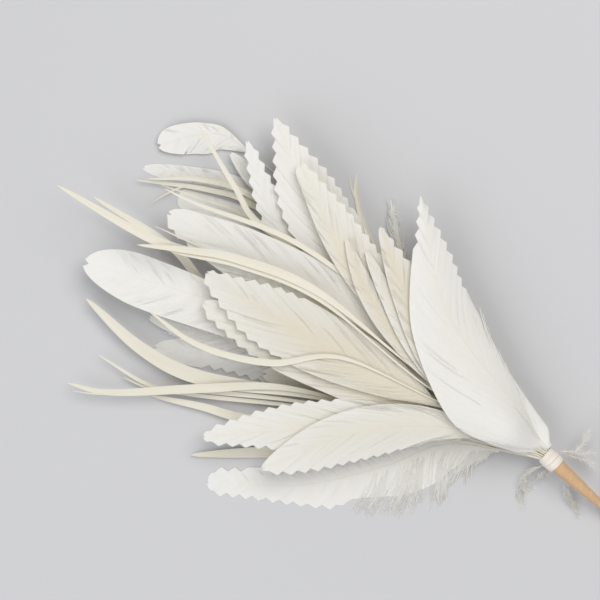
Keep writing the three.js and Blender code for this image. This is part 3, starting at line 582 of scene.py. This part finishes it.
def feather_material(name, heart_shade_share):
    """White barbs in fine streaks and cream patches, with painted cream shade towards the heart of the spray.
    """
    material, tone = new_material(name)
    along = tone.node("ShaderNodeAttribute", {"attribute_name": "along"}, output="Fac")
    across = tone.node("ShaderNodeAttribute", {"attribute_name": "across"}, output="Fac")
    place = tone.node("ShaderNodeTexCoord", output="Object")
    barbs = tone.node("ShaderNodeCombineXYZ", {}, {0: along * BARB_GRAIN[0], 1: across * BARB_GRAIN[1]})
    locks = tone.node("ShaderNodeCombineXYZ", {}, {
        0: along * LOCK_GRAIN[0], 1: across * LOCK_GRAIN[1], 2: LOCK_GRAIN[2]})
    fine = tone.node("ShaderNodeTexNoise", {}, {"Vector": barbs, "Scale": 1.0, "Detail": 2.0})
    broad = tone.node("ShaderNodeTexNoise", {}, {"Vector": locks, "Scale": 1.0, "Detail": 3.0})
    patch = tone.node("ShaderNodeTexNoise", {}, {"Vector": place, "Scale": PATCHES, "Detail": 2.0})
    away = tone.node("ShaderNodeVectorMath", {"operation": "SUBTRACT"}, {0: place, 1: SHADED_HEART})
    far = tone.node("ShaderNodeVectorMath", {"operation": "LENGTH"}, {0: away}, output="Value")
    # Painted warm shade: cream that grows towards the heart of the spray and towards the shaft, scaled by the
    # feather's share of it. Random cream patches are added on top.
    heart_shade = tone.node("ShaderNodeMapRange", {"interpolation_type": "SMOOTHSTEP", "clamp": True},
                     {"Value": far, "From Min": 0.085, "From Max": 0.015, "To Min": 0.12, "To Max": 1.0})
    root = tone.node("ShaderNodeMapRange", {"clamp": True},
                     {"Value": across, "From Min": 0.95, "From Max": 0.1, "To Min": 0.3, "To Max": 1.15})
    cream = heart_shade * root * heart_shade_share + (patch + broad - 1.0) * PATCH_SHARE
    cream = tone.node("ShaderNodeClamp", {}, {0: cream})
    colour = blend_colours(tone, cream, VANE_WHITE, VANE_SHADE_AND_CREAM)
    lined = blend_colours(tone, fine * FINE_SHARE + broad * BROAD_SHARE, colour, VANE_LINE)
    quill = tone.math("GREATER_THAN", across, QUILL_FROM)
    finished = blend_colours(tone, quill * QUILL_SHARE, lined, QUILL_HORN)
    bump = tone.node("ShaderNodeBump", {}, {"Strength": 0.35, "Distance": 0.0003, "Height": fine + broad})
    skin = tone.node("ShaderNodeBsdfPrincipled", {}, {
        "Base Color": finished, "Roughness": 0.6, "Specular IOR Level": 0.35, "Normal": bump,
        "Sheen Weight": 0.1})
    through = tone.node("ShaderNodeBsdfTranslucent", {}, {"Color": VANE_GLOW})
    glow = WHITE_GLOW + CREAM_GLOW * heart_shade_share
    mixed = tone.node("ShaderNodeMixShader", {}, {0: glow, 1: skin, 2: through})
    tone.node("ShaderNodeOutputMaterial", {}, {"Surface": mixed})
    return material


SHARP_ANGLE = math.radians(50)


def finish_piece(bm, name, material):
    """Makes the mesh a piece of the spray, in place of the solid with the same name."""
    mesh = bpy.data.meshes.new(name)
    bm.to_mesh(mesh)
    bm.free()
    mesh.shade_smooth()
    mesh.set_sharp_from_angle(angle=SHARP_ANGLE)
    mesh.materials.append(material)
    piece = bpy.data.objects.new(name + "_look", mesh)
    bpy.context.collection.objects.link(piece)
    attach(piece, "root")
    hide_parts(name)


QUILL_RADII = [0.3, 0.24, 0.07]
QUILL_END_RADIUS = 0.22
QUILL_END_STEPS = 3
QUILL_STEPS = 60
QUILL_STRETCH = [0.005, 0.985]
QUILL_LIFT = 0.02
QUILL_SIDES = 6
QUILL_FLAT = 0.8
QUILL_ACROSS = 2
# Shares of the painted cream shade that the vane materials take.
LEAST_CREAM = 0.3
CREAM_SHARES = (LEAST_CREAM, 0.6, 1.0)
FEATHER_SEED = 11

pack_shafts(FEATHERS + BIOTS)
vanes = {share: feather_material("goose_vane_%d" % (share * 100), share) for share in CREAM_SHARES}
for number, feather in enumerate(FEATHERS):
    draw = np.random.default_rng([FEATHER_SEED, number])
    shaft_line = Shaft(feather)
    mesh_now = start_mesh()
    add_vane(mesh_now, shaft_line, 1, draw)
    add_vane(mesh_now, shaft_line, -1, draw)
    shares = np.linspace(*QUILL_STRETCH, QUILL_STEPS)
    quill = np.vstack([shaft_line.root(QUILL_END_STEPS),
                       shaft_line.place(shares, np.zeros(QUILL_STEPS), QUILL_LIFT)])
    radii = np.append([QUILL_END_RADIUS] * QUILL_END_STEPS,
                      np.interp(shares, [0, feather["start"], 1], QUILL_RADII)) * MM
    add_rod(mesh_now, quill, radii, QUILL_SIDES, flat=QUILL_FLAT, across=QUILL_ACROSS)
    # The feather's cream share sets how much painted warm shade its vanes take.
    finish_piece(mesh_now, feather["name"], vanes[feather.get("cream", LEAST_CREAM)])

# Biots
# Stiff pointed barbs stripped from the narrow side of goose wing quills, ivory and slightly glossy. They
# stand between the feathers as the stamens of the flower, and their roots are tied in with the shafts.
SHAFT_HALF = 0.3
BIOT_ROOT = 0.35
BIOT_WIDEST = 0.72
BIOT_POINT = 1.6
BIOT_TIP_HALF = 0.1
BIOT_THICKNESS = 0.2
BIOT_ROWS = 90
BIOT_COLUMNS = 6
SPLIT_ROWS = 14
SPLIT_CURVE = 1.3
SPLIT_RADII = [0.3, 0.45, 0.08]
SPLIT_WIDEST = 0.4
SPLIT_SIDES = 6
SPLIT_FLAT = 0.5
BIOT_HOLLOW = 0.16
HOLLOW_MIDDLE = 0.4
BIOT_END_HALF = 0.22
BIOT_END_ROWS = 2
BIOT_GRAIN = (0.05, 7)
BIOT_DARK = (0.7, 0.66, 0.53, 1)
BIOT_LIGHT = (0.87, 0.85, 0.77, 1)
BIOT_PATCH = (0.72, 0.66, 0.52, 1)
BIOT_GLOW = (0.9, 0.85, 0.72, 1)


def biot_material():
    """Ivory horn with fine lines along the blade."""
    material, tone = new_material("goose_biot")
    along = tone.node("ShaderNodeAttribute", {"attribute_name": "along"}, output="Fac")
    across = tone.node("ShaderNodeAttribute", {"attribute_name": "across"}, output="Fac")
    place = tone.node("ShaderNodeTexCoord", output="Object")
    grain = tone.node("ShaderNodeCombineXYZ", {}, {0: along * BIOT_GRAIN[0], 1: across * BIOT_GRAIN[1]})
    streak = tone.node("ShaderNodeTexNoise", {}, {"Vector": grain, "Scale": 1.0, "Detail": 3.0})
    patch = tone.node("ShaderNodeTexNoise", {}, {"Vector": place, "Scale": 40.0, "Detail": 2.0})
    colour = blend_colours(tone, streak, BIOT_DARK, BIOT_LIGHT)
    finished = blend_colours(tone, patch * 0.25, colour, BIOT_PATCH)
    bump = tone.node("ShaderNodeBump", {}, {"Strength": 0.3, "Distance": 0.0002, "Height": streak})
    horn = tone.node("ShaderNodeBsdfPrincipled", {}, {
        "Base Color": finished, "Roughness": 0.45, "Specular IOR Level": 0.5, "Normal": bump})
    through = tone.node("ShaderNodeBsdfTranslucent", {}, {"Color": BIOT_GLOW})
    mixed = tone.node("ShaderNodeMixShader", {}, {0: 0.15, 1: horn, 2: through})
    tone.node("ShaderNodeOutputMaterial", {}, {"Surface": mixed})
    return material


def add_biot(bm, shaft):
    """A narrow blade, hollow along its middle, from the collar to its point."""
    share = np.linspace(0, 1, BIOT_ROWS + 1)
    grow = smooth((share - BIOT_ROOT) / (BIOT_WIDEST - BIOT_ROOT))
    past = np.maximum(0, (share - BIOT_WIDEST) / (1 - BIOT_WIDEST))
    half = (SHAFT_HALF + (shaft.piece["half"] - SHAFT_HALF) * grow) * np.sqrt(1 - past ** BIOT_POINT)
    half = np.maximum(half, BIOT_TIP_HALF)
    across = np.linspace(-1, 1, BIOT_COLUMNS + 1)
    lift = BIOT_HOLLOW * half[:, None] * (across ** 2 - HOLLOW_MIDDLE)
    points = shaft.place(np.repeat(share[:, None], BIOT_COLUMNS + 1, 1), half[:, None] * across, lift)
    side = np.append(FAN_LEFT, 0) * BIOT_END_HALF * MM
    points = np.concatenate([shaft.root(BIOT_END_ROWS)[:, None] + across[:, None] * side, points])
    rows = BIOT_ROWS + BIOT_END_ROWS
    made = bmesh.ops.create_grid(bm, x_segments=rows, y_segments=BIOT_COLUMNS, size=0.5)["verts"]
    along_layer, across_layer = bm.verts.layers.float["along"], bm.verts.layers.float["across"]
    for vert in made:
        i = round((vert.co.x + 0.5) * rows)
        j = round((vert.co.y + 0.5) * BIOT_COLUMNS)
        vert.co = points[i, j]
        vert[along_layer] = share[max(0, i - BIOT_END_ROWS)] * shaft.length
        vert[across_layer] = across[j]
    thicken(bm, BIOT_THICKNESS)
    if "split" in shaft.piece:
        first, last, side = shaft.piece["split"]
        t = np.linspace(0, 1, SPLIT_ROWS)
        line = shaft.place(first + (last - first) * t, side * t ** SPLIT_CURVE)
        radii = np.interp(t, [0, SPLIT_WIDEST, 1], SPLIT_RADII) * MM
        add_rod(bm, line, radii, SPLIT_SIDES, flat=SPLIT_FLAT)


biot_ivory = biot_material()
for biot in BIOTS:
    mesh_now = start_mesh()
    add_biot(mesh_now, Shaft(biot))
    finish_piece(mesh_now, biot["name"], biot_ivory)

# Down tufts
# Loose white down from the roots of the feathers, caught in the thread at the neck. Each tuft is a spray of
# soft barbs, and each barb carries two rows of fine barbules.
TUFTS = [
    dict(name="upper_down_tuft", wisps=[
        [[90.5, -49.5, 11], [97.5, -50.6, 9.5], [104, -50.2, 8]],
        [[95.6, -50.6, 10], [98.6, -47.2, 9.5], [100.5, -44.2, 9], [101.6, -41.2, 8.5]],
        [[91, -50, 10], [99, -52.5, 7], [104.2, -56.6, 5]]]),
    dict(name="lower_down_tuft", wisps=[
        [[84.4, -54.8, 8], [78, -58.1, 5], [76.5, -61.9, 3], [75.8, -65.6, 1.5], [76.9, -69.4, 0.8],
         [78.8, -75.4, 0.6]],
        [[82.5, -55.5, 7.5], [78.8, -58.1, 4.5], [77.2, -64.9, 2], [82.5, -61.9, 1.5]],
        [[82.5, -60.8, 3], [85, -58.8, 5], [87.4, -57, 7]]]),
    dict(name="stem_down_tuft", wisps=[
        [[88.1, -56.3, 7], [95.6, -62.6, 5], [98.6, -63.8, 4]],
        [[92.5, -62, 5], [94.1, -67.5, 2], [96, -70.5, 1], [98.6, -75.4, 0.6]],
        [[94.1, -64, 4], [95, -69, 1.5], [99, -71, 0.8]]]),
]
WISP_BARBS = 5
WISP_STEPS = 16
SHORTEST_WISP = 0.7
WISP_BOW = 0.6
WISP_DRIFT = 0.5
WISP_CURL = 0.2
CURL_TURNS = [6, 12]
LOWEST_WISP = 0.1
DOWN_RADII = [0.11, 0.05]
BARBULES = 46
BARBULE_FROM = 0.12
BARBULE_LENGTH = 1.9
SHORTEST_BARBULE = 0.5
BARBULE_RADII = [0.045, 0.035, 0.015]
BARBULE_MIDDLE = [0.35, 0.4]
BARBULE_TIP = [0.75, 0.75]
LOWEST_BARBULE = 0.05
DOWN_WHITE = (0.92, 0.92, 0.91, 1)
DOWN_WARM = (0.84, 0.81, 0.74, 1)
DOWN_GLOW = (0.95, 0.93, 0.88, 1)
DOWN_SEED = 13


def curve_points(spots, count):
    """Points on a smooth curve through a few spots."""
    spots = np.asarray(spots, float)
    ends = np.vstack([2 * spots[0] - spots[1], spots, 2 * spots[-1] - spots[-2]])
    steps = np.linspace(0, len(spots) - 1, count)
    first = np.minimum(steps.astype(int), len(spots) - 2)
    return glide(*(ends[first + i] for i in range(4)), (steps - first)[:, None])


def down_material():
    """White down, a little warmer in patches."""
    material, tone = new_material("goose_down")
    place = tone.node("ShaderNodeTexCoord", output="Object")
    patch = tone.node("ShaderNodeTexNoise", {}, {"Vector": place, "Scale": 160.0, "Detail": 2.0})
    colour = blend_colours(tone, patch, DOWN_WHITE, DOWN_WARM)
    fluff = tone.node("ShaderNodeBsdfPrincipled", {}, {"Base Color": colour, "Roughness": 0.9})
    through = tone.node("ShaderNodeBsdfTranslucent", {}, {"Color": DOWN_GLOW})
    mixed = tone.node("ShaderNodeMixShader", {}, {0: 0.3, 1: fluff, 2: through})
    tone.node("ShaderNodeOutputMaterial", {}, {"Surface": mixed})
    return material


def add_down(bm, barbs, rng):
    """Down barbs with barbules that stand out all around them."""
    barbs = np.asarray(barbs)
    add_hairs(bm, barbs, np.tile(np.linspace(*DOWN_RADII, WISP_STEPS) * MM, (len(barbs), 1)))
    shares = rng.uniform(BARBULE_FROM, 1, (len(barbs), BARBULES)) * (WISP_STEPS - 1)
    low = np.minimum(shares.astype(int), WISP_STEPS - 2)
    part = (shares - low)[..., None]
    rows = np.arange(len(barbs))[:, None]
    spot = barbs[rows, low] * (1 - part) + barbs[rows, low + 1] * part
    way = barbs[rows, low + 1] - barbs[rows, low]
    way /= np.linalg.norm(way, axis=-1, keepdims=True)
    out = np.cross(way, rng.normal(0, 1, way.shape))
    out /= np.linalg.norm(out, axis=-1, keepdims=True)
    size = BARBULE_LENGTH * MM * rng.uniform(SHORTEST_BARBULE, 1, shares.shape)[..., None]
    middle = spot + (way * BARBULE_MIDDLE[0] + out * BARBULE_MIDDLE[1]) * size
    tip = spot + (way * BARBULE_TIP[0] + out * BARBULE_TIP[1]) * size
    lines = np.stack([spot, middle, tip], axis=2).reshape(-1, 3, 3)
    lines[..., 2] = np.maximum(lines[..., 2], LOWEST_BARBULE * MM)
    add_hairs(bm, lines, np.tile(np.array(BARBULE_RADII) * MM, (len(lines), 1)))


down_white = down_material()
for number, tuft in enumerate(TUFTS):
    draw = np.random.default_rng([DOWN_SEED, number])
    share = np.linspace(0, 1, WISP_STEPS)
    barbs = []
    for wisp in tuft["wisps"]:
        line = curve_points(wisp, WISP_STEPS)
        for _ in range(WISP_BARBS):
            stop = draw.uniform(SHORTEST_WISP, 1)
            run = np.stack([np.interp(share * stop, share, line[:, i]) for i in range(3)], 1)
            run += draw.normal(0, WISP_BOW, 3) * np.sin(share * math.pi)[:, None]
            run += draw.normal(0, WISP_DRIFT, 3) * share[:, None] ** 2
            run += draw.normal(0, WISP_CURL, 3) * np.sin(share * draw.uniform(*CURL_TURNS))[:, None]
            run[:, :2] += SHIFT
            run[:, 2] = np.maximum(run[:, 2], LOWEST_WISP)
            barbs.append(run * MM)
    mesh_now = bmesh.new()
    add_down(mesh_now, barbs, draw)
    finish_piece(mesh_now, tuft["name"], down_white)

# Thread collar
# White cotton thread wound tightly around the bundle of shafts at the neck, in two layers of turns. Each
# layer is listed with its radius, its number of turns and how far a turn slants.
THREAD_LAYERS = [(3.0, 10, 0.0), (3.3, 9, 0.45)]
THREAD_RADIUS = 0.4
THREAD_STEPS = 30
THREAD_SIDES = 8
THREAD_WANDER = 0.12
THREAD_RISE = 0.08
THREAD_START = 0.5
THREAD_EDGE = 0.4
COLLAR_ROUND = 0.5
THREAD_DARK = (0.72, 0.66, 0.6, 1)
THREAD_LIGHT = (0.88, 0.84, 0.8, 1)
THREAD_SOIL = (0.74, 0.62, 0.5, 1)
THREAD_SEED = 14


def thread_material():
    """Cotton: fine fibres, and soiled patches."""
    material, tone = new_material("binding_thread")
    place = tone.node("ShaderNodeTexCoord", output="Object")
    fibre = tone.node("ShaderNodeTexNoise", {}, {"Vector": place, "Scale": 2600.0, "Detail": 2.0})
    soil = tone.node("ShaderNodeTexNoise", {}, {"Vector": place, "Scale": 260.0, "Detail": 2.0})
    colour = blend_colours(tone, fibre, THREAD_DARK, THREAD_LIGHT)
    finished = blend_colours(tone, soil * 0.4, colour, THREAD_SOIL)
    bump = tone.node("ShaderNodeBump", {}, {"Strength": 0.4, "Distance": 0.0001, "Height": fibre})
    cotton = tone.node("ShaderNodeBsdfPrincipled", {}, {
        "Base Color": finished, "Roughness": 0.85, "Sheen Weight": 0.2, "Normal": bump})
    tone.node("ShaderNodeOutputMaterial", {}, {"Surface": cotton})
    return material


def neck_points(reach, across, height):
    """Points beside the line of the stem: reach towards the stem's end, across to the left, height up."""
    spot = NECK - FLOWER_WAY * reach[:, None] + FAN_LEFT * across[:, None] + SHIFT
    return np.column_stack([spot, height]) * MM


mesh_now = bmesh.new()
draw = np.random.default_rng(THREAD_SEED)
for radius, turns, slant in THREAD_LAYERS:
    steps = turns * THREAD_STEPS
    turn = np.linspace(0, turns * 2 * math.pi, steps)
    half_turns = np.linspace(0, turn[-1], 2 * turns + 1)
    wander = np.interp(turn, half_turns, draw.normal(0, THREAD_WANDER, 2 * turns + 1))
    rise = np.interp(turn, half_turns, draw.normal(0, THREAD_RISE, 2 * turns + 1))
    reach = np.linspace(THREAD_START, COLLAR_LENGTH - THREAD_START, steps) + wander + slant * np.sin(turn)
    snug = radius + rise - COLLAR_ROUND * np.abs(reach / COLLAR_LENGTH * 2 - 1) ** 3
    points = neck_points(np.clip(reach, THREAD_EDGE, COLLAR_LENGTH - THREAD_EDGE), snug * np.cos(turn),
                         NECK_HEIGHT + snug * np.sin(turn))
    add_rod(mesh_now, points, np.full(steps, THREAD_RADIUS * MM), THREAD_SIDES)
finish_piece(mesh_now, "thread_collar", thread_material())

# Taped stem
# A tapering stem of wire ends, wrapped in tan crepe paper tape that overlaps itself in a slow spiral. It
# starts right behind the collar.
STEM_PATH = [[-1, 10], [14, 7.6], [28, 3.6], [46, 1.6]]
STEM_RADII = [2.9, 2.1, 1.5, 1.3]
PIECE_GAP = 0.3
TAPE_PITCH = 5.2
TAPE_STEP = 0.22
STEM_ROWS = 190
STEM_SIDES = 28
TAPE_LIGHT = (0.74, 0.52, 0.32, 1)
TAPE_DARK = (0.5, 0.31, 0.16, 1)
CREPE_GRAIN = (4.2, 3, 5)


def tape_material(name, light, dark):
    """Crepe paper: fine wrinkles across the tape, with soiled patches."""
    material, tone = new_material(name)
    along = tone.node("ShaderNodeAttribute", {"attribute_name": "along"}, output="Fac")
    across = tone.node("ShaderNodeAttribute", {"attribute_name": "across"}, output="Fac")
    place = tone.node("ShaderNodeTexCoord", output="Object")
    grain = tone.node("ShaderNodeCombineXYZ", {}, {
        0: along * CREPE_GRAIN[0] + across * CREPE_GRAIN[1], 1: across * CREPE_GRAIN[2]})
    crepe = tone.node("ShaderNodeTexNoise", {}, {"Vector": grain, "Scale": 1.0, "Detail": 3.0})
    soil = tone.node("ShaderNodeTexNoise", {}, {"Vector": place, "Scale": 150.0, "Detail": 3.0})
    colour = blend_colours(tone, crepe, dark, light)
    finished = blend_colours(tone, soil * 0.45, colour, dark)
    bump = tone.node("ShaderNodeBump", {}, {"Strength": 0.6, "Distance": 0.0002, "Height": crepe})
    paper = tone.node("ShaderNodeBsdfPrincipled", {}, {
        "Base Color": finished, "Roughness": 0.78, "Specular IOR Level": 0.3, "Normal": bump})
    tone.node("ShaderNodeOutputMaterial", {}, {"Surface": paper})
    return material


stem_line = curve_points(STEM_PATH, STEM_ROWS)
stem_points = neck_points(COLLAR_LENGTH + PIECE_GAP + stem_line[:, 0], np.zeros(STEM_ROWS), stem_line[:, 1])
stem_radii = np.interp(np.linspace(0, len(STEM_RADII) - 1, STEM_ROWS), range(len(STEM_RADII)), STEM_RADII)
mesh_now = start_mesh()
add_rod(mesh_now, stem_points, stem_radii * MM, STEM_SIDES, tape=(TAPE_PITCH, TAPE_STEP))
finish_piece(mesh_now, "taped_stem", tape_material("crepe_tape", TAPE_LIGHT, TAPE_DARK))

# Stem wire
# The end of the stem wire, covered in pale yellow-green paper. It goes on from the end of the tape, and is
# folded back in a tight bend beside the stem.
WIRE_RADIUS = 0.9
WIRE_BEND = 2.4
WIRE_REACH = 5
WIRE_TAIL = 15
WIRE_SIDES = 16
REACH_ROWS = 25
BEND_ROWS = 60
TAIL_ROWS = 67
WIRE_TAPE_PITCH = 2.4
WIRE_TAPE_STEP = 0.07
WIRE_LIGHT = (0.76, 0.75, 0.44, 1)
WIRE_DARK = (0.56, 0.52, 0.26, 1)

bend = np.linspace(0, math.pi, BEND_ROWS)[1:-1]
wire_reach = np.concatenate([np.linspace(0, WIRE_REACH, REACH_ROWS), WIRE_REACH + WIRE_BEND * np.sin(bend),
                             np.linspace(WIRE_REACH, -WIRE_TAIL, TAIL_ROWS)])
wire_side = np.concatenate([np.zeros(REACH_ROWS), WIRE_BEND * (1 - np.cos(bend)),
                            np.full(TAIL_ROWS, 2 * WIRE_BEND)])
wire_points = neck_points(COLLAR_LENGTH + 2 * PIECE_GAP + STEM_PATH[-1][0] + wire_reach, wire_side,
                          np.full(len(wire_reach), WIRE_RADIUS))
mesh_now = start_mesh()
add_rod(mesh_now, wire_points, np.full(len(wire_reach), WIRE_RADIUS * MM), WIRE_SIDES,
        tape=(WIRE_TAPE_PITCH, WIRE_TAPE_STEP))
finish_piece(mesh_now, "stem_wire", tape_material("wire_paper", WIRE_LIGHT, WIRE_DARK))

# Floor, light and camera
# A plain pale floor, large soft lights and a camera that looks straight down.
FLOOR_SIZE = 3.0
FLOOR_GREY = (0.55, 0.55, 0.56, 1)
SKY_COLOUR = (0.95, 0.97, 1, 1)
SKY_STRENGTH = 0.46
LAMPS = [
    dict(name="key", spot=(0.22, 0.34, 0.85), size=0.7, power=5.6, colour=(1, 0.98, 0.95)),
    dict(name="fill", spot=(-0.5, -0.5, 0.7), size=0.9, power=4.4, colour=(0.97, 0.98, 1)),
]
VIEW_MIDDLE = (-7.5, 7.5)
VIEW_WIDTH = 0.225
VIEW_HEIGHT = 0.015
LENS = 150
SENSOR = 36

floor_mesh = bpy.data.meshes.new("floor")
mesh_now = bmesh.new()
bmesh.ops.create_grid(mesh_now, x_segments=1, y_segments=1, size=FLOOR_SIZE / 2)
mesh_now.to_mesh(floor_mesh)
mesh_now.free()
floor = bpy.data.objects.new("floor", floor_mesh)
bpy.context.collection.objects.link(floor)
floor_material, floor_tone = new_material("pale_floor")
pale = floor_tone.node("ShaderNodeBsdfPrincipled", {}, {"Base Color": FLOOR_GREY, "Roughness": 0.9})
floor_tone.node("ShaderNodeOutputMaterial", {}, {"Surface": pale})
floor_mesh.materials.append(floor_material)

world = bpy.data.worlds.new("studio")
world.use_nodes = True
sky = world.node_tree.nodes["Background"]
sky.inputs["Color"].default_value = SKY_COLOUR
sky.inputs["Strength"].default_value = SKY_STRENGTH
bpy.context.scene.world = world

for lamp in LAMPS:
    light = bpy.data.lights.new(lamp["name"], "AREA")
    light.size, light.energy, light.color = lamp["size"], lamp["power"], lamp["colour"]
    holder = bpy.data.objects.new(lamp["name"], light)
    holder.location = lamp["spot"]
    holder.rotation_euler = (-Vector(lamp["spot"])).to_track_quat("-Z", "Y").to_euler()
    bpy.context.collection.objects.link(holder)

camera_data = bpy.data.cameras.new("camera")
camera_data.lens, camera_data.sensor_width = LENS, SENSOR
camera = bpy.data.objects.new("camera", camera_data)
camera.location = (*(SHIFT + VIEW_MIDDLE) * MM, VIEW_HEIGHT + VIEW_WIDTH * LENS / SENSOR)
bpy.context.collection.objects.link(camera)
bpy.context.scene.camera = camera
bpy.context.scene.view_settings.view_transform = "Standard"
